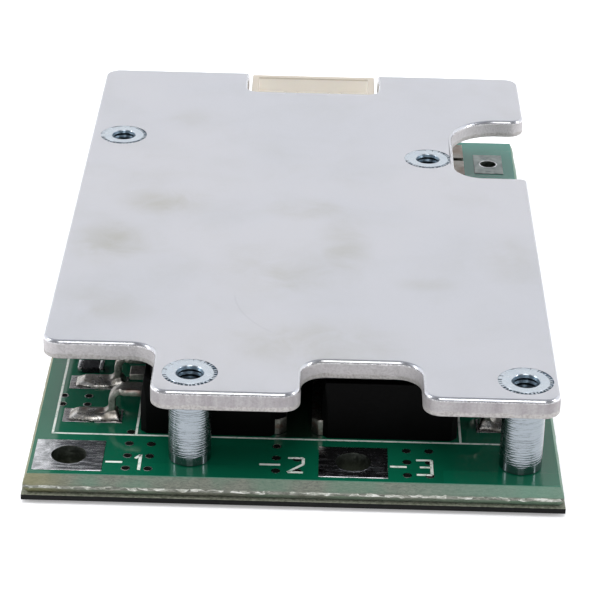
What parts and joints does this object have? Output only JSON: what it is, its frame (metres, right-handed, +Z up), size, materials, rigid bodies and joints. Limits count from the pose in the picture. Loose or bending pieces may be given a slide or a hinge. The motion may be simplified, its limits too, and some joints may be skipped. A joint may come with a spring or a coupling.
{
  "type": "battery management board",
  "caption": "Battery management circuit board under an aluminium heat plate on threaded standoffs, with solder terminals and a sense-wire header.",
  "frame": {"origin": "middle of the board in plan, on the surface that the screw heads stand on", "axes": "+X to the right seen from the terminals, +Y from the terminals to the header, +Z up through the heat plate"},
  "size_m": [0.0388, 0.0628, 0.0092],
  "materials": {
    "laminate": "glass-fibre laminate with glossy green solder mask",
    "insulating_film": "black polycarbonate film",
    "aluminium_plate": "stamped, tumbled and matt, edges softly rounded",
    "gap_pad": "dark silicone gap pad",
    "zinc_plate": "turned steel, bright blue zinc",
    "nickel_screw": "nickel-plated steel",
    "tinned_copper": "hot-air-levelled tin over copper",
    "mould_compound": "black transfer-moulded epoxy",
    "tinned_frame": "matt tin-plated copper",
    "solder": "reflowed solder",
    "resistor_glaze": "black resistor glaze on ceramic",
    "ceramic_tan": "fired tan ceramic",
    "shunt_alloy": "dark copper-manganese alloy strip",
    "copper_end": "copper with a thin tin coat",
    "nylon_cream": "moulded natural nylon"
  },
  "bodies": {
    "root": {"circuit_board": "laminate", "insulating_sheet": "insulating_film", "heat_plate": "aluminium_plate", "thermal_pad": "gap_pad", "standoff_front_left": "zinc_plate", "standoff_front_right": "zinc_plate", "standoff_rear_left": "zinc_plate", "standoff_rear_right": "zinc_plate", "board_screws": "nickel_screw", "terminal_pads": "tinned_copper", "mosfet_bodies": "mould_compound", "mosfet_tabs": "tinned_frame", "mosfet_leads": "tinned_frame", "lead_lands": "tinned_copper", "lead_solder": "solder", "gate_resistors": "resistor_glaze", "balance_resistors": "resistor_glaze", "filter_resistors": "resistor_glaze", "filter_capacitors": "ceramic_tan", "chip_ends": "tinned_copper", "small_transistors": "mould_compound", "transistor_leads": "tinned_frame", "controller_body": "mould_compound", "controller_leads": "tinned_frame", "sense_shunts": "shunt_alloy", "shunt_ends": "copper_end", "surge_diode": "mould_compound", "diode_leads": "tinned_frame", "header_housing": "nylon_cream", "header_pins": "tinned_frame"}
  },
  "joints": []
}
